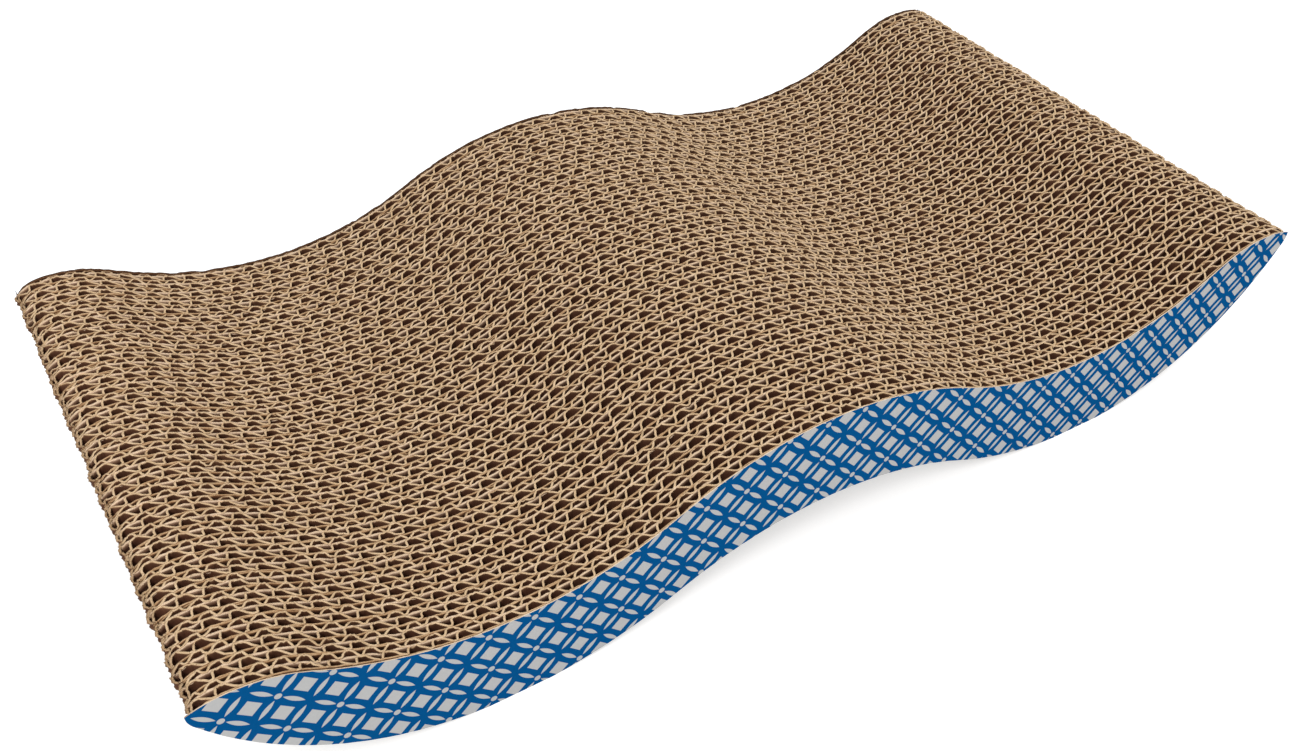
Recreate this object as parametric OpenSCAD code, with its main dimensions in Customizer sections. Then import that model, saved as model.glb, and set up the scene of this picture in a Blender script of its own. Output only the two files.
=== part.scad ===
// Lounge-style cardboard scratcher: upright strips of double-wall corrugated
// board, glued face to face, with a printed paper sheet on each long side.
// X runs from tip to tip, Y across the strips and Z up. The origin is the
// middle of the footprint, on the floor.

/* [Overall] */
// Length from tip to tip
body_l = 436; // [380:1:520]
// Number of boards glued side by side
board_n = 36; // [8:1:58]

/* [Side outline] */
// Height of the middle hump
crest_h = 63; // [58:0.5:72]
// Height of the two dips at their lowest
valley_h = 35.7; // [32:0.1:42]
// Distance from the middle to the lowest line of a dip
valley_run = 117; // [105:1:130]
// Height at which the tip stands out furthest
tip_h = 56; // [50:0.1:60]
// Radius of the nose under that height
nose_r = 8; // [5:0.5:12]
// Height of the rounded lip above the tip
lip_rise = 3; // [2:0.1:5]
// Distance from the tip in to the top of its lip
lip_in = 13; // [8:0.5:18]
// Height of the arch under the middle
arch_h = 26.1; // [20:0.1:30]
// Distance from the middle to the middle of a foot
foot_run = 121; // [110:1:135]
// Depth that is cut flat off the round of a foot
foot_cut = 0.5; // [0.2:0.1:1.5]

/* [Corrugated board] */
// Thickness of a flat liner
liner_t = 0.35; // [0.25:0.05:0.6]
// Thickness of the fluted paper
medium_t = 0.3; // [0.2:0.05:0.5]
// Clear height between the liners of the large flutes
large_flute_h = 3.1; // [2.6:0.05:4]
// Clear height between the liners of the small flutes
small_flute_h = 2.07; // [1.6:0.01:2.6]
// Length of one large flute along the board
large_flute_pitch = 14.2; // [12:0.1:24]
// Length of one small flute along the board
small_flute_pitch = 11.8; // [10:0.1:20]
// Length at each tip where the die has pressed the papers together
crush_l = 3; // [1:0.5:8]

/* [Printed sheets] */
// Thickness of the printed sheet on each long side
print_t = 0.4; // [0.2:0.05:1]

/* [Hidden] */
// Glue line between the fold of a flute and its liner
glue_gap = 0.05;
// Share of a flute by which each board is shifted against the one before it
shift_share = 0.618;
// Largest shares of the climbs to the hump and to the lip that the arc of a dip takes
dip_share_in = 0.5;
dip_share_out = 0.743;
// Extra length that carries a cut past a face
overrun = 1;
$fn = 180;

board_t = 3 * liner_t + large_flute_h + small_flute_h;
stack_w = board_n * board_t;
half_l = body_l / 2;

// Radius of an arc that starts level and climbs rise over a distance of run. Two
// arcs that meet smoothly and end level as well have radii that add up to this.
function climb_r(run, rise) = (run * run + rise * rise) / (2 * rise);
// Radius of an arc that starts level and runs smoothly into an arc of radius end_r,
// whose middle lies over a distance of run and up by rise
function swing_r(run, rise, end_r) = (run * run + rise * rise - end_r * end_r) / (2 * (rise - end_r));
// Where two discs touch; the second radius is negative if its disc lies inside the first
function touch(a_at, a_r, b_at, b_r) = a_at + (b_at - a_at) * a_r / (a_r + b_r);

// Top edge: hump, dip and lip, each with its middle as [x, z]
lip_h = tip_h + lip_rise;
climb_in_r = climb_r(valley_run, crest_h - valley_h);
climb_out_r = climb_r(half_l - lip_in - valley_run, lip_h - valley_h);
dip_r = min(dip_share_in * climb_in_r, dip_share_out * climb_out_r);
hump_r = climb_in_r - dip_r;
lip_r = climb_out_r - dip_r;
hump_at = [0, crest_h - hump_r];
dip_at = [valley_run, valley_h + dip_r];
lip_at = [half_l - lip_in, lip_h - lip_r];
hump_end = touch(hump_at, hump_r, dip_at, dip_r);
lip_end = touch(lip_at, lip_r, dip_at, dip_r);

// Bottom edge: arch, then the inner and outer side of a foot, then the nose
arch_r = climb_r(foot_run, arch_h + foot_cut) / 2;
arch_at = [0, arch_h - arch_r];
inner_foot_at = [foot_run, arch_r - foot_cut];
arch_end = touch(arch_at, arch_r, inner_foot_at, arch_r);
nose_at = [half_l - nose_r, tip_h];
foot_r = swing_r(nose_at.x - foot_run, tip_h + foot_cut, nose_r);
outer_foot_at = [foot_run, foot_r - foot_cut];
nose_end = touch(outer_foot_at, foot_r, nose_at, -nose_r);
cut_h = max(crest_h, lip_h) + overrun;

function two_digits(i) = str(i < 10 ? "0" : "", i);
function board_name(i) = str("board_", two_digits(i));

module disc(at, r) {
    translate(at) circle(r = r);
}

// The space over a disc between two distances from the middle
module over(x0, x1, at, r) {
    difference() {
        translate([x0, at.y]) square([x1 - x0, cut_h + overrun - at.y]);
        disc(at, r);
    }
}

// The space under a disc between two distances from the middle
module under(x0, x1, at, r) {
    difference() {
        translate([x0, -overrun]) square([x1 - x0, at.y + overrun]);
        disc(at, r);
    }
}

module both_ways() {
    children();
    mirror([1, 0]) children();
}

// Seen from the side: a block from tip to tip, less the space over and under it
module outline() {
    difference() {
        translate([-half_l, 0]) square([body_l, cut_h]);
        over(-hump_end.x, hump_end.x, hump_at, hump_r);
        disc(arch_at, arch_r);
        both_ways() {
            disc(dip_at, dip_r);
            over(lip_end.x, half_l + overrun, lip_at, lip_r);
            under(arch_end.x, foot_run, inner_foot_at, arch_r);
            under(foot_run, half_l + overrun, outer_foot_at, foot_r);
            under(nose_end.x, half_l + overrun, nose_at, nose_r);
        }
    }
}

// The side outline as a plate that stands at y and is t thick
module plate(y, t) {
    translate([0, y + t, 0]) rotate([90, 0, 0]) linear_extrude(t) outline();
}

// One fluted paper seen from above: a zigzag that fills the height h between two liners
module fluting(pitch, h, y, shift) {
    folds = ceil(2 * (body_l + 2 * overrun) / pitch) + 3;
    rise = h - 2 * glue_gap - medium_t;
    near = [for (i = [0:folds]) [
        -half_l - overrun + (i - 1 - shift) * pitch / 2,
        y + glue_gap + (i % 2) * rise
    ]];
    far = [for (i = [folds:-1:0]) near[i] + [0, medium_t]];
    polygon(concat(near, far));
}

// The five papers of one board seen from above, joined at the crushed tips
module board_section(y, shift) {
    large_y = y + liner_t;
    middle_y = large_y + large_flute_h;
    small_y = middle_y + liner_t;
    last_y = small_y + small_flute_h;
    for (liner_y = [y, middle_y, last_y])
        translate([-half_l, liner_y]) square([body_l, liner_t]);
    fluting(large_flute_pitch, large_flute_h, large_y, shift);
    fluting(small_flute_pitch, small_flute_h, small_y, 1 - shift);
    for (tip_x = [-half_l, half_l - crush_l])
        translate([tip_x, y]) square([crush_l, board_t]);
}

module board(i) {
    y = (i - 1) * board_t - stack_w / 2;
    turns = i * shift_share;
    color("burlywood") intersection() {
        linear_extrude(cut_h) board_section(y, turns - floor(turns));
        plate(y - overrun, board_t + 2 * overrun);
    }
}

module front_print_sheet() {
    color("steelblue") plate(-stack_w / 2 - print_t, print_t);
}

module back_print_sheet() {
    color("steelblue") plate(stack_w / 2, print_t);
}

front_print_sheet();
for (i = [1:board_n])
    board(i);
back_print_sheet();
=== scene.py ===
# A lounge-shaped cardboard cat scratcher: thirty-six upright strips of
# double-wall corrugated board, glued face to face, between two printed sheets.
import math
import bmesh
import bpy
import numpy as np
from mathutils import Matrix, Vector


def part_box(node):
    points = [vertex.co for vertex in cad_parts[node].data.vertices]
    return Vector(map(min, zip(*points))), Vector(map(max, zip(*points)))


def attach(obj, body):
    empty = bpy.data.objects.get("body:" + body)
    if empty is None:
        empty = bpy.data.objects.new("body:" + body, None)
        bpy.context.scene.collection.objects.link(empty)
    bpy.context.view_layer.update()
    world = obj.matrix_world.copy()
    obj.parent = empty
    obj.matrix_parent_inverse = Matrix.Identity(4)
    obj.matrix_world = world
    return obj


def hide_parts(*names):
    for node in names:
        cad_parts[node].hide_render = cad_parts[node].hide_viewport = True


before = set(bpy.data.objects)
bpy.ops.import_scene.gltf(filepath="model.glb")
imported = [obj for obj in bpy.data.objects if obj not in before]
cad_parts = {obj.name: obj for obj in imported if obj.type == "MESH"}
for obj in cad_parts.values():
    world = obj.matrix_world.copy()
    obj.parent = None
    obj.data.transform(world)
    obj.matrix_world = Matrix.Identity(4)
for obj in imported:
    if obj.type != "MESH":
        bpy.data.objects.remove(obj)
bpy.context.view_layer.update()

# The boards: upright strips of brown double-wall corrugated kraft board, three
# flat liners with a large and a small flute between them. They are die-cut to
# one outline and glued face to face, and their cut edges are pale and furry.
board_names = sorted(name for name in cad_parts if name.startswith("board_"))
board_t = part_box("board_01")[1][1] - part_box("board_01")[0][1]
stack_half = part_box(board_names[-1])[1][1]
large_h = 0.0031
small_h = 0.00207
liner_t = (board_t - large_h - small_h) / 3
large_pitch = 0.0079
small_pitch = 0.0064
steps_per_flute = 12
liner_step = 0.0015

# The side outline that the die cuts through all the boards at once, read off
# the front sheet's solid: the height of its top and bottom edge at each x.
tip_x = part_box("board_01")[1][0]


def edge_curve(node, up):
    """The x and z of the points along the top (up 1) or bottom (up -1) edge of a sheet."""
    least_facing = 0.01
    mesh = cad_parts[node].data
    points = set()
    for face in mesh.polygons:
        if face.normal.z * up > least_facing:
            for i in face.vertices:
                x, _, z = mesh.vertices[i].co
                points.add((round(x, 6), round(z, 6)))
    return np.array(sorted(points)).T


top_x, top_z = edge_curve("front_print_sheet", 1)
bottom_x, bottom_z = edge_curve("front_print_sheet", -1)


def top_at(x):
    return np.interp(x, top_x, top_z)


def bottom_at(x):
    return np.interp(x, bottom_x, bottom_z)


def paint_nodes(name):
    """A new material with its node tree, its Principled shader and its object coordinates."""
    material = bpy.data.materials.new(name)
    material.use_nodes = True
    tree = material.node_tree
    coordinates = tree.nodes.new("ShaderNodeTexCoord").outputs["Object"]
    return material, tree, tree.nodes["Principled BSDF"], coordinates


def matt(shader, roughness, specular):
    shader.inputs["Roughness"].default_value = roughness
    shader.inputs["Specular IOR Level"].default_value = specular


def axes_of(tree, coordinates):
    """The X, Y and Z of some coordinates."""
    node = tree.nodes.new("ShaderNodeSeparateXYZ")
    tree.links.new(coordinates, node.inputs[0])
    return node.outputs["X"], node.outputs["Y"], node.outputs["Z"]


def grains(tree, coordinates, per_metre, detail=2.0):
    """Noise with so many grains per metre along X, Y and Z."""
    mapping = tree.nodes.new("ShaderNodeMapping")
    mapping.inputs["Scale"].default_value = per_metre
    tree.links.new(coordinates, mapping.inputs["Vector"])
    texture = tree.nodes.new("ShaderNodeTexNoise")
    texture.inputs["Scale"].default_value = 1.0
    texture.inputs["Detail"].default_value = detail
    tree.links.new(mapping.outputs["Vector"], texture.inputs["Vector"])
    return texture.outputs["Fac"]


def ramp(tree, value, low, high):
    """Value stretched so that low becomes 0 and high 1."""
    node = tree.nodes.new("ShaderNodeMapRange")
    node.inputs["From Min"].default_value = low
    node.inputs["From Max"].default_value = high
    tree.links.new(value, node.inputs["Value"])
    return node.outputs["Result"]


def mixed(tree, factor, a, b):
    """Colour a where factor is 0 and b where it is 1. Each is a socket or a tuple."""
    node = tree.nodes.new("ShaderNodeMix")
    node.data_type = "RGBA"
    tree.links.new(factor, node.inputs["Factor"])
    for name, colour in (("A", a), ("B", b)):
        socket = [s for s in node.inputs if s.name == name and s.type == "RGBA"][0]
        if isinstance(colour, tuple):
            socket.default_value = (*colour, 1.0)
        else:
            tree.links.new(colour, socket)
    return [s for s in node.outputs if s.type == "RGBA"][0]


def times(tree, a, b):
    """Two colours multiplied."""
    node = tree.nodes.new("ShaderNodeVectorMath")
    node.operation = "MULTIPLY"
    tree.links.new(a, node.inputs[0])
    tree.links.new(b, node.inputs[1])
    return node.outputs["Vector"]


def bumped(tree, shader, height, distance):
    node = tree.nodes.new("ShaderNodeBump")
    node.inputs["Distance"].default_value = distance
    node.inputs["Strength"].default_value = 1.0
    tree.links.new(height, node.inputs["Height"])
    tree.links.new(node.outputs["Normal"], shader.inputs["Normal"])


def srgb(red, green, blue):
    """A screen colour from 0 to 255 as the linear values that a shader takes."""
    shares = [value / 255 for value in (red, green, blue)]
    return tuple(c / 12.92 if c < 0.04 else ((c + 0.055) / 1.055) ** 2.4 for c in shares)


# Every paper is a ribbon of four rings of points, one above the other. It is
# thin in the middle and widens to its own share of edge_t at both cuts. The
# kind of a paper is the place of its wall, its edge and its share.
ring_count = 4
edge_t = 0.00088
wall_t = 0.00030
frayed_depth = 0.0007
fray_share = 0.3
least_height = 0.0003
fluting, outer_liner, middle_liner, shaded_last_liner = range(4)
cut_shares = (0.86, 0.56, 0.74, 0.78)
unchanged = (1.0, 1.0, 1.0)


def distance_to_cut(tree):
    """Distance down or up a paper to its nearer cut, in metres, from the two attributes of the mesh."""
    nearer = tree.nodes.new("ShaderNodeMath")
    nearer.operation = "MINIMUM"
    for i, name in enumerate(("below_top", "above_bottom")):
        attribute = tree.nodes.new("ShaderNodeAttribute")
        attribute.attribute_name = name
        tree.links.new(attribute.outputs["Fac"], nearer.inputs[i])
    return nearer.outputs[0]


def lip_shade_group():
    """A colour factor for painted shade on the left lip, where the rounded nose turns from the light: brown
    at the very tip and unshaded a little way in.
    """
    lip_shade_tint = (0.58, 0.52, 0.47)
    full_shade_l = 0.0005
    shade_end_l = 0.005
    group = bpy.data.node_groups.new("lip_shade", "ShaderNodeTree")
    group.interface.new_socket("Vector", in_out="INPUT", socket_type="NodeSocketVector")
    group.interface.new_socket("Color", in_out="OUTPUT", socket_type="NodeSocketColor")
    entry = group.nodes.new("NodeGroupInput")
    result = group.nodes.new("NodeGroupOutput")
    x, _, _ = axes_of(group, entry.outputs["Vector"])
    unshaded = ramp(group, x, full_shade_l - tip_x, shade_end_l - tip_x)
    group.links.new(mixed(group, unshaded, lip_shade_tint, unchanged), result.inputs["Color"])
    return group


# Painted shade at the left lip, shared by the walls and the cut edges.
lip_shade = lip_shade_group()


# Multiplies a colour by the painted shade of the left lip.
def lip_shaded(tree, colour, coordinates):
    node = tree.nodes.new("ShaderNodeGroup")
    node.node_tree = lip_shade
    tree.links.new(coordinates, node.inputs["Vector"])
    return times(tree, colour, node.outputs["Color"])


def kraft_wall(name, *tones):
    """Smooth paper with upright streaks. Its tones go from the cut down into the cells as painted light and
    shade: pale near the cut, darker deeper down.

    Towards the left lip they are paler, as painted light where the worn cells let in more of it.
    """
    tone_depths = (0.0, 0.00045, 0.0011, 0.0021)
    lip_light_gain = (1.38, 1.38, 1.38)
    lip_light_to_x = -0.08
    material, tree, shader, coordinates = paint_nodes(name)
    # Painted shade: the colour darkens with depth below the nearer cut.
    shade = tree.nodes.new("ShaderNodeValToRGB")
    stops = shade.color_ramp.elements
    while len(stops) < len(tones):
        stops.new(0.5)
    for stop, depth, tone in zip(stops, tone_depths, tones):
        stop.position = depth / tone_depths[-1]
        stop.color = (*tone, 1.0)
    tree.links.new(ramp(tree, distance_to_cut(tree), 0.0, tone_depths[-1]), shade.inputs["Fac"])
    streaks = grains(tree, coordinates, (1800, 1800, 60), 3)
    blotches = grains(tree, coordinates, (160, 160, 90))
    streaky = mixed(tree, ramp(tree, streaks, 0.35, 0.68), (0.80, 0.78, 0.75), unchanged)
    patchy = mixed(tree, ramp(tree, blotches, 0.3, 0.75), (0.82, 0.80, 0.78), unchanged)
    worn = times(tree, streaky, patchy)
    # Painted light: the walls get paler towards the left lip.
    x, _, _ = axes_of(tree, coordinates)
    lip_lit = mixed(tree, ramp(tree, x, -tip_x, lip_light_to_x), lip_light_gain, unchanged)
    colour = times(tree, times(tree, shade.outputs["Color"], worn), lip_lit)
    # Painted shade: the wall darkens at the very tip of the left lip.
    tree.links.new(lip_shaded(tree, colour, coordinates), shader.inputs["Base Color"])
    matt(shader, 0.85, 0.2)
    bumped(tree, shader, streaks, 0.0001)
    return material


def kraft_edge(name, pale, tan, brown):
    """The cut edge: furry, with pale torn fibres over the tan core of the paper."""
    material, tree, shader, coordinates = paint_nodes(name)
    fur = grains(tree, coordinates, (2600, 2600, 900), 4)
    patches = grains(tree, coordinates, (240, 240, 240), 3)
    core = mixed(tree, ramp(tree, patches, 0.35, 0.7), tan, pale)
    flecked = mixed(tree, ramp(tree, fur, 0.58, 0.72), core, brown)
    # Painted shade: the cut edge darkens at the very tip of the left lip.
    tree.links.new(lip_shaded(tree, flecked, coordinates), shader.inputs["Base Color"])
    matt(shader, 0.95, 0.15)
    bumped(tree, shader, fur, 0.0002)
    return material


# Wall tones, from the cut down into the cells: painted light near the cut and painted shade deeper down. The
# middle liner's pale top is painted light where the lamp reaches into the cells.
board_walls = (
    kraft_wall(
        "fluting_wall", srgb(160, 126, 94), srgb(114, 82, 60), srgb(104, 69, 50), srgb(98, 61, 43)),
    kraft_wall(
        "outer_liner_wall", srgb(160, 122, 86), srgb(108, 75, 50), srgb(78, 48, 30), srgb(58, 32, 19)),
    kraft_wall(
        "middle_liner_wall", srgb(236, 210, 182), srgb(214, 184, 156), srgb(160, 122, 97), srgb(80, 48, 33)),
    # Painted shade: the last liner's dark browns stand for the shadow along the back of the stack.
    kraft_wall(
        "last_liner_wall", srgb(110, 80, 56), srgb(90, 60, 40), srgb(76, 50, 32), srgb(60, 38, 24)),
)
board_edges = (
    kraft_edge("fluting_edge", srgb(218, 190, 154), srgb(200, 170, 132), srgb(146, 112, 79)),
    kraft_edge("outer_liner_edge", srgb(204, 172, 134), srgb(180, 145, 106), srgb(136, 102, 69)),
    kraft_edge("middle_liner_edge", srgb(226, 200, 170), srgb(209, 180, 148), srgb(156, 124, 93)),
    # Painted shade along the back: the last liner's dark cut edge.
    kraft_edge("last_liner_edge", srgb(84, 60, 42), srgb(70, 48, 32), srgb(50, 32, 20)),
)


def rows(top_cut, bottom_cut, fray):
    """Heights of the four rings of a paper, from the bottom cut to the top one."""
    return [bottom_cut, bottom_cut + fray, top_cut - fray, top_cut]


def with_fine_tips(x):
    """Adds points close to both tips, where the outline rounds the nose."""
    tips = tip_x - np.array([0.0, 0.0001, 0.0003, 0.0006, 0.001, 0.0015, 0.002])
    return np.unique(np.concatenate([x, tips, -tips]))


def near_tip(x, length):
    """0 up to length from a tip, and from there up to 1 at the tip."""
    return np.clip(1 - (tip_x - np.abs(x)) / length, 0, 1)


def lip_wear(x, left, right):
    """How far the lips are rubbed down, most at the very tips."""
    lip_l = 0.007
    return np.where(x < 0, left, right) * near_tip(x, lip_l) ** 2


def eased(f):
    return f * f * (3 - 2 * f)


def smooth_noise(rng, count, span):
    """Random numbers from -1 to 1, smooth over span of the count samples."""
    knots = rng.uniform(-1, 1, int(count / span) + 3)
    at = np.arange(count) / span
    i = at.astype(int)
    f = eased(at - i)
    return knots[i] * (1 - f) + knots[i + 1] * f


# The shared side shift of the papers: random at knots that lie sway_x apart
# along the boards and sway_y apart across them, and nil at the outer faces.
sway_most = 0.0002
sway_x = 0.0041
sway_y = 0.0115
sway_cells = (110, 20)
sway_knots = np.random.default_rng(3).uniform(-1, 1, (sway_cells[0] + 2, sway_cells[1] + 2))
calm_w = 0.008


def sway(x, y):
    """Side shift that neighbouring papers share, so that the rows wander a little but still touch."""
    across = np.clip((x + tip_x) / sway_x, 0, sway_cells[0])
    along = np.clip((y + stack_half) / sway_y, 0, sway_cells[1])
    i, j = across.astype(int), along.astype(int)
    f, g = eased(across - i), eased(along - j)
    near = sway_knots[i, j] * (1 - f) + sway_knots[i + 1, j] * f
    far = sway_knots[i, j + 1] * (1 - f) + sway_knots[i + 1, j + 1] * f
    return sway_most * (near * (1 - g) + far * g) * np.clip((stack_half - np.abs(y)) / calm_w, 0, 1)


# Half a flute seen from above, from the top of its arch to the fold. It leans
# to the left by arch_lean of its pitch. Here and there it sags by up to
# arch_sag of its height and slips by up to flute_slip of its pitch.
arch_places = np.arange(steps_per_flute // 2 + 1) / steps_per_flute
arch_heights = np.array([1.0, 0.98, 0.92, 0.36, -0.34, -0.96, -1.0])
arch_lean = 0.030
arch_sag = 0.04
sag_span = 2 * steps_per_flute
flute_slip = 0.030
slip_span = 6 * steps_per_flute
lean_most = 0.0001
lean_span = 9 * steps_per_flute
pressed_l = 0.0028
end_points = 9
end_inset = 0.0004
end_bow = 0.0004
hair = 1e-6


def fluting_path(rng, pitch, h, y):
    """Points along one fluted paper seen from above: round arches on steep legs, with narrow folds between.

    At each tip the last fold is pressed across the end.
    """
    half_count = (int(tip_x / pitch) + 2) * steps_per_flute
    turn = np.arange(-half_count, half_count + 1) / steps_per_flute
    slipped = turn + rng.uniform(0, 1) + flute_slip * smooth_noise(rng, len(turn), slip_span)
    from_top = np.abs(turn - np.round(turn))
    arch = np.interp(from_top, arch_places, arch_heights)
    arch = arch * (1 - arch_sag * np.clip(smooth_noise(rng, len(turn), sag_span), 0, 1))
    along = pitch * (slipped - arch_lean * arch)
    x = with_fine_tips(along[np.abs(along) < tip_x])
    count = len(x)
    wave = np.interp(x, along, arch)
    lean = lean_most * smooth_noise(rng, count, lean_span)
    x = x + lean * wave * np.clip((tip_x - np.abs(x)) / pitch, 0, 1)
    pressed = eased(near_tip(x, pressed_l))
    wave = wave * (1 - pressed) - pressed
    end = np.linspace(-1, 1, end_points)[1:]
    end_x = tip_x - end_inset - end_bow * end * end
    last_x = tip_x - (end_inset + end_bow)
    x = np.clip(x, -last_x, last_x) + np.linspace(-hair, hair, count)
    x = np.concatenate([-end_x[::-1], x, end_x])
    wave = np.concatenate([end[::-1], wave, end])
    return x, y + h / 2 + (h + wall_t / 4) / 2 * wave


def liner_path(rng, middle_y):
    """Points along one flat paper seen from above. It wavers a little."""
    waver = 0.00010
    waver_span = 3
    x = with_fine_tips(np.linspace(-tip_x, tip_x, int(2 * tip_x / liner_step) + 1))
    return x, middle_y + waver * smooth_noise(rng, len(x), waver_span)


# How the die and the use leave a board: ends that stop a little short and are
# rounded as seen from above, rough and torn cuts, and loose fibres.
least_slip = 0.0006
most_extra_slip = (0.0010, 0.0003)
end_round = (0.0013, 0.0007)
top_gap = 0.0001
bottom_gap = 0.0002
cut_rough = 0.0003
tear_depth = 0.0020
tear_rarity = 0.55
tear_span = 4
loose_fibre = 0.00018
wall_inset = edge_t / 2 + 0.00005


def stand_up(rng, path, middle, slips, wear, drop):
    """Gives a path its four rings of height, with torn and furry cut edges, a rounded end and a worn lip."""
    nominal_x, y = path
    count = len(y)
    rounded = np.where(nominal_x < 0, *end_round) * ((y - middle) / (board_t / 2)) ** 2
    x = nominal_x * (1 - (np.where(nominal_x < 0, *slips) + rounded) / tip_x)
    y = y + sway(nominal_x, y)
    torn = np.clip(smooth_noise(rng, count, tear_span) - tear_rarity, 0, 1)
    blunt_x = nominal_x * (1 - least_slip / tip_x)
    bottom_cut = bottom_at(blunt_x) + bottom_gap + cut_rough * rng.random(count)
    top_cut = top_at(blunt_x) - top_gap - drop - cut_rough * rng.random(count) - tear_depth * torn
    top_cut = top_cut - lip_wear(nominal_x, *wear)
    top_cut = np.maximum(top_cut, bottom_cut + least_height)
    fray = np.minimum(frayed_depth, fray_share * (top_cut - bottom_cut))
    most_y = stack_half - wall_inset
    points = []
    for ring, z in enumerate(rows(top_cut, bottom_cut, fray)):
        loose = loose_fibre if ring in (0, ring_count - 1) else 0.0
        ring_x = x + loose * rng.uniform(-1, 1, count)
        ring_y = np.clip(y + loose * rng.uniform(-1, 1, count), -most_y, most_y)
        points.append(np.stack([ring_x, ring_y, z, top_cut - z, z - bottom_cut], axis=1))
    return np.concatenate(points)


# How far the cut of a paper lies under the outline. The liners lie lower where
# two boards meet, the last small flutes are rubbed down, and the lips are worn
# down at both tips, the left one more and most of all at the far side.
flush_drop = 0.0001
first_drop = 0.0003
last_drop = 0.0002
rubbed_drop = 0.0008
left_wear = 0.0024
left_wear_gain = 0.0008
left_wear_shares = (0.75, 1.25)
right_wears = (0.0003, 0.0008)


def make_board(name):
    low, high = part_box(name)
    rng = np.random.default_rng(int(name.split("_")[1]))
    large_y = low[1] + liner_t
    middle_y = large_y + large_h
    small_y = middle_y + liner_t
    is_first, is_last = name == board_names[0], name == board_names[-1]
    papers = [
        (outer_liner, liner_path(rng, low[1] + wall_t / 2), flush_drop if is_first else first_drop),
        (fluting, fluting_path(rng, large_pitch, large_h, large_y), 0.0),
        (middle_liner, liner_path(rng, middle_y + liner_t / 2), flush_drop),
        (fluting, fluting_path(rng, small_pitch, small_h, small_y), rubbed_drop if is_last else 0.0),
        (
            shaded_last_liner if is_last else outer_liner,
            liner_path(rng, high[1] - wall_t / 2),
            flush_drop if is_last else last_drop,
        ),
    ]
    middle = (low[1] + high[1]) / 2
    slips = [least_slip + rng.uniform(0.0, most) for most in most_extra_slip]
    left = rng.uniform(*left_wear_shares) * (left_wear + left_wear_gain * middle / stack_half)
    right = rng.uniform(*right_wears)
    bm = bmesh.new()
    points = []
    for kind, path, drop in papers:
        made = bmesh.ops.create_grid(bm, x_segments=len(path[0]) - 1, y_segments=ring_count - 1, size=1.0)
        for vert in made["verts"]:
            for face in vert.link_faces:
                face.material_index = kind
        points.append(stand_up(rng, path, middle, slips, (left, right), drop))
    mesh = bpy.data.meshes.new("cut_" + name)
    bm.to_mesh(mesh)
    bm.free()
    points = np.concatenate(points)
    mesh.vertices.foreach_set("co", points[:, :3].astype(np.float32).ravel())
    for column, attribute in ((3, "below_top"), (4, "above_bottom")):
        values = mesh.attributes.new(attribute, "FLOAT", "POINT").data
        values.foreach_set("value", points[:, column].astype(np.float32))
    for material in board_walls + board_edges:
        mesh.materials.append(material)
    mesh.polygons.foreach_set("use_smooth", [True] * len(mesh.polygons))
    mesh.update()
    board = bpy.data.objects.new("cut_" + name, mesh)
    bpy.context.scene.collection.objects.link(board)
    thickness = board.vertex_groups.new(name="thickness")
    start = 0
    for kind, (x, _), _ in papers:
        rings = start + np.arange(ring_count * len(x)).reshape(ring_count, len(x))
        thickness.add(rings[[0, -1]].ravel().tolist(), cut_shares[kind], "REPLACE")
        thickness.add(rings[1:-1].ravel().tolist(), wall_t / edge_t, "REPLACE")
        start += rings.size
    wall = board.modifiers.new("paper thickness", "SOLIDIFY")
    wall.thickness = edge_t
    wall.offset = 0
    wall.vertex_group = "thickness"
    wall.material_offset_rim = len(board_walls)
    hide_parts(name)
    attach(board, "root")


for name in board_names:
    make_board(name)

# The printed sheets: white paper glued over the first and the last liner and
# cut with them, printed blue with a grey lattice of squares, leaves and dots.
# Its repeat gets a little finer and leans more towards the right end.
repeats_to_middle = 12.270
repeats_per_metre = 66.52
repeat_gain = 15.03
lean_height = 0.040
print_lean = -5.80
print_lean_gain = -26.1
lattice_z = 0.01457
lattice_z_gain = -0.003135
dot_z = 0.04626
print_slant = 0.01216
square_half = 0.225
leaf_half_l = 0.35
leaf_half_w = 0.076
dot_r = 0.10
soft_w = 0.008


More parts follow.
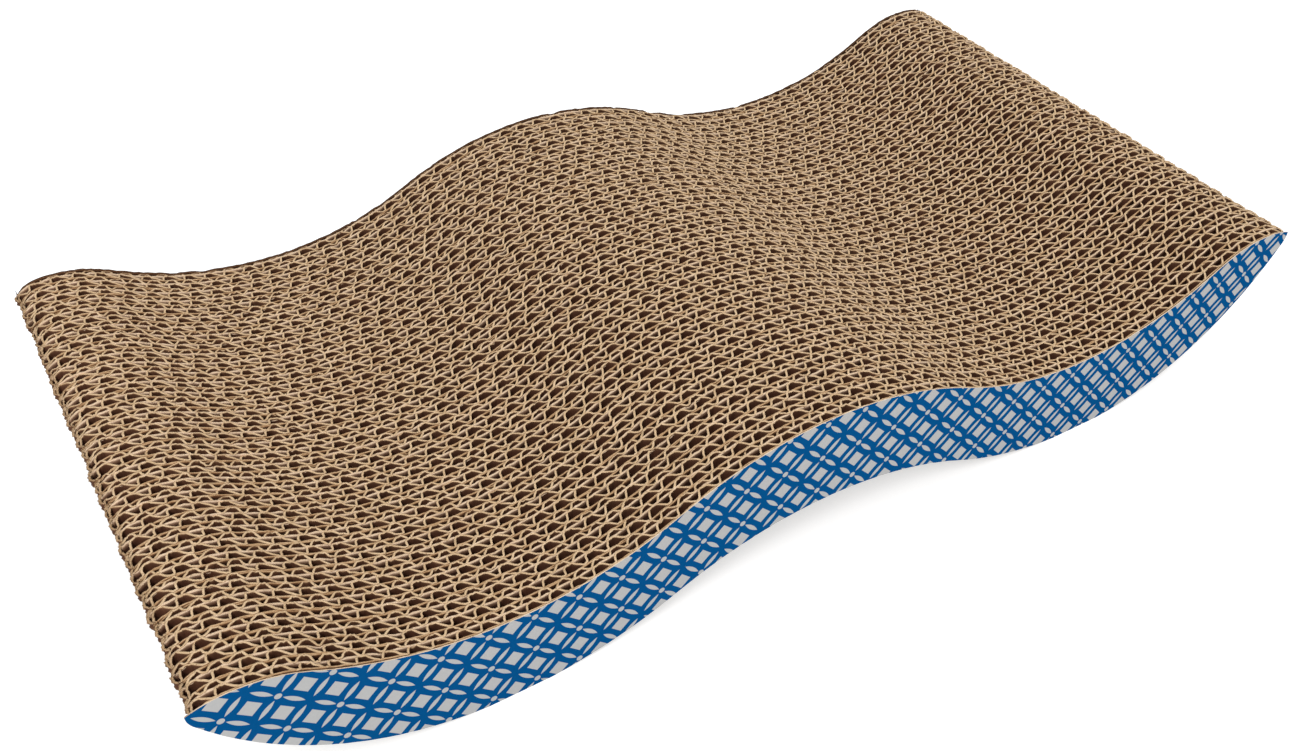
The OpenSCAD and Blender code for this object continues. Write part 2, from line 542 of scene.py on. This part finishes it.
def lattice_group():
    """Mask of the printed lattice: squares, leaves and dots along two sets of slanting lines.

    u counts the repeats along the sheet and v the rows up it. a and b count the slanting lines.
    """
    group = bpy.data.node_groups.new("lattice_print", "ShaderNodeTree")
    group.interface.new_socket("Vector", in_out="INPUT", socket_type="NodeSocketVector")
    group.interface.new_socket("Mask", in_out="OUTPUT", socket_type="NodeSocketFloat")
    entry = group.nodes.new("NodeGroupInput")
    result = group.nodes.new("NodeGroupOutput")

    def calc(operation, *values):
        node = group.nodes.new("ShaderNodeMath")
        node.operation = operation
        for i, value in enumerate(values):
            if isinstance(value, (int, float)):
                node.inputs[i].default_value = value
            else:
                group.links.new(value, node.inputs[i])
        return node.outputs[0]

    def linear(value, gain, start):
        return calc("MULTIPLY_ADD", value, gain, start)

    def clamped(value):
        return calc("MINIMUM", calc("MAXIMUM", value, 0.0), 1.0)

    def inside(distance, limit):
        """1 where distance is under limit, with a soft step soft_w wide."""
        over = calc("DIVIDE", calc("SUBTRACT", distance, calc("SUBTRACT", limit, soft_w / 2)), soft_w)
        return calc("SUBTRACT", 1.0, clamped(over))

    x, _, z = axes_of(group, entry.outputs["Vector"])
    level_u = linear(linear(x, repeat_gain, repeats_per_metre), x, repeats_to_middle)
    u = linear(linear(x, print_lean_gain, print_lean), calc("SUBTRACT", z, lean_height), level_u)
    slanted = linear(x, print_slant, z)
    v = calc("DIVIDE", calc("SUBTRACT", slanted, dot_z), linear(x, lattice_z_gain, lattice_z))
    a = calc("ADD", u, v)
    b = calc("SUBTRACT", u, v)
    near_a = calc("SUBTRACT", a, calc("ROUND", a))
    near_b = calc("SUBTRACT", b, calc("ROUND", b))
    mid_a = calc("SUBTRACT", 0.5, calc("ABSOLUTE", near_a))
    mid_b = calc("SUBTRACT", 0.5, calc("ABSOLUTE", near_b))
    square = inside(calc("MAXIMUM", mid_a, mid_b), square_half)

    def leaf(across, along):
        bow = calc("MULTIPLY", calc("DIVIDE", along, leaf_half_l), calc("DIVIDE", along, leaf_half_l))
        width = calc("MULTIPLY", leaf_half_w, calc("SUBTRACT", 1.0, bow))
        return inside(calc("ABSOLUTE", across), width)

    leaves = calc("MAXIMUM", leaf(near_a, mid_b), leaf(near_b, mid_a))
    odd = calc("FLOORED_MODULO", calc("ADD", calc("ROUND", a), calc("ROUND", b)), 2.0)
    even = calc("SUBTRACT", 1.0, odd)
    away = calc("SQRT", calc("ADD", calc("MULTIPLY", near_a, near_a), calc("MULTIPLY", near_b, near_b)))
    dot = calc("MULTIPLY", even, inside(away, dot_r))
    group.links.new(calc("MAXIMUM", square, calc("MAXIMUM", leaves, dot)), result.inputs["Mask"])
    return group


def printed_paper():
    """Smooth paper with the print, a little uneven in its ink and over the flutes behind it."""
    material, tree, shader, coordinates = paint_nodes("printed_paper")
    lattice = tree.nodes.new("ShaderNodeGroup")
    lattice.node_tree = lattice_group()
    tree.links.new(coordinates, lattice.inputs["Vector"])
    cloud = grains(tree, coordinates, (900, 900, 900), 3)
    blue = mixed(tree, ramp(tree, cloud, 0.2, 0.8), srgb(8, 83, 140), srgb(9, 88, 148))
    grey = mixed(tree, ramp(tree, cloud, 0.2, 0.8), srgb(193, 193, 193), srgb(198, 198, 197))
    tree.links.new(mixed(tree, lattice.outputs["Mask"], blue, grey), shader.inputs["Base Color"])
    matt(shader, 0.55, 0.0)
    washboard = grains(tree, coordinates, (130, 130, 6))
    bumped(tree, shader, washboard, 0.0001)
    return material


printed = printed_paper()
sheet_edge = kraft_edge("sheet_edge", srgb(226, 206, 180), srgb(206, 182, 152), srgb(166, 138, 108))
sheet_step = 0.002
sheet_rough = 0.0001
sheet_fray = 0.0004


def make_sheet(node, edge, slip, wear, drop):
    low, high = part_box(node)
    rng = np.random.default_rng(7)
    x = with_fine_tips(np.linspace(-tip_x, tip_x, int(2 * tip_x / sheet_step) + 1))
    count = len(x)
    t = high[1] - low[1]
    y = np.full(count, (low[1] + high[1]) / 2)
    bm = bmesh.new()
    bmesh.ops.create_grid(bm, x_segments=count - 1, y_segments=ring_count - 1, size=1.0)
    mesh = bpy.data.meshes.new("cut_" + node)
    bm.to_mesh(mesh)
    bm.free()
    top_cut = top_at(x) - sheet_rough * rng.random(count) - drop - lip_wear(x, wear, wear)
    bottom_cut = bottom_at(x) + sheet_rough * rng.random(count)
    fray = np.minimum(sheet_fray, fray_share * (top_cut - bottom_cut))
    top_cut = np.maximum(top_cut, bottom_cut + least_height)
    x = x * (1 - slip / tip_x)
    points = np.concatenate([np.stack([x, y, z], axis=1) for z in rows(top_cut, bottom_cut, fray)])
    mesh.vertices.foreach_set("co", points.astype(np.float32).ravel())
    mesh.materials.append(printed)
    mesh.materials.append(edge)
    mesh.update()
    sheet = bpy.data.objects.new("cut_" + node, mesh)
    bpy.context.scene.collection.objects.link(sheet)
    wall = sheet.modifiers.new("paper thickness", "SOLIDIFY")
    wall.thickness = t
    wall.offset = 0
    wall.material_offset_rim = 1
    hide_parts(node)
    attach(sheet, "root")


# The near sheet is cut close and shows its pale core. The far one is worn down more,
# and its cut takes the last liner's dark brown, painted shade along the back.
make_sheet("front_print_sheet", sheet_edge, slip=0.0001, wear=0.0004, drop=0.0002)
make_sheet("back_print_sheet", board_edges[shaded_last_liner], slip=0.0020, wear=0.0040, drop=0.0013)

# The pale floor under the scratcher. It stays white to the camera and keeps
# the soft shadow of the feet.
floor_size = 12.0
floor_glow = 0.6
bm = bmesh.new()
bmesh.ops.create_grid(bm, x_segments=1, y_segments=1, size=floor_size / 2)
floor_mesh = bpy.data.meshes.new("floor")
bm.to_mesh(floor_mesh)
bm.free()
floor = bpy.data.objects.new("floor", floor_mesh)
bpy.context.scene.collection.objects.link(floor)
floor_material, floor_tree, floor_shader, _ = paint_nodes("floor_white")
floor_shader.inputs["Base Color"].default_value = (0.6, 0.6, 0.6, 1)
matt(floor_shader, 0.9, 0.0)
camera_ray = floor_tree.nodes.new("ShaderNodeLightPath").outputs["Is Camera Ray"]
glow = floor_tree.nodes.new("ShaderNodeMath")
glow.operation = "MULTIPLY"
glow.inputs[1].default_value = floor_glow
floor_tree.links.new(camera_ray, glow.inputs[0])
floor_shader.inputs["Emission Color"].default_value = (1, 1, 1, 1)
floor_tree.links.new(glow.outputs[0], floor_shader.inputs["Emission Strength"])
floor_mesh.materials.append(floor_material)

# The studio: even white light from all round, a large soft lamp to the upper
# left in front, and weaker ones to the right and behind.
world_strength = 0.55
world = bpy.data.worlds.new("studio")
bpy.context.scene.world = world
world.use_nodes = True
background = world.node_tree.nodes["Background"]
background.inputs["Color"].default_value = (1, 1, 1, 1)
background.inputs["Strength"].default_value = world_strength


def soft_lamp(name, at, aim, size, power):
    lamp = bpy.data.lights.new(name, "AREA")
    lamp.size = size
    lamp.energy = power
    placed = bpy.data.objects.new(name, lamp)
    placed.location = at
    placed.rotation_euler = (Vector(aim) - Vector(at)).to_track_quat("-Z", "Y").to_euler()
    bpy.context.scene.collection.objects.link(placed)


soft_lamp("key_lamp", at=(-1.35, -1.35, 2.25), aim=(0, 0, 0.03), size=0.9, power=48)
soft_lamp("fill_lamp", at=(1.3, -0.3, 1.3), aim=(0, 0, 0.03), size=1.0, power=8)
soft_lamp("back_lamp", at=(0.1, 0.9, 1.0), aim=(0.05, 0.1, 0.03), size=0.8, power=3.4)

# The camera stands where the photograph was taken: over half a metre off, to
# the left in front and above, turned a degree off level.
eye = Vector((-0.2220, -0.3772, 0.3766))
view_azimuth = math.radians(-29.93)
view_elevation = math.radians(40.81)
view_roll = math.radians(-1.07)
focal_length = 39.1
forward = Vector((
    -math.sin(view_azimuth) * math.cos(view_elevation),
    math.cos(view_azimuth) * math.cos(view_elevation),
    -math.sin(view_elevation),
))
level = forward.cross(Vector((0, 0, 1))).normalized()
upright = level.cross(forward)
right = math.cos(view_roll) * level + math.sin(view_roll) * upright
up = -math.sin(view_roll) * level + math.cos(view_roll) * upright
lens = bpy.data.cameras.new("camera")
lens.sensor_width = 36
lens.sensor_fit = "HORIZONTAL"
lens.lens = focal_length
lens.clip_start = 0.01
camera = bpy.data.objects.new("camera", lens)
turn = Matrix((right, up, -forward)).transposed().to_4x4()
camera.matrix_world = Matrix.Translation(eye) @ turn
bpy.context.scene.collection.objects.link(camera)
bpy.context.scene.camera = camera

bpy.context.scene.view_settings.view_transform = "Standard"
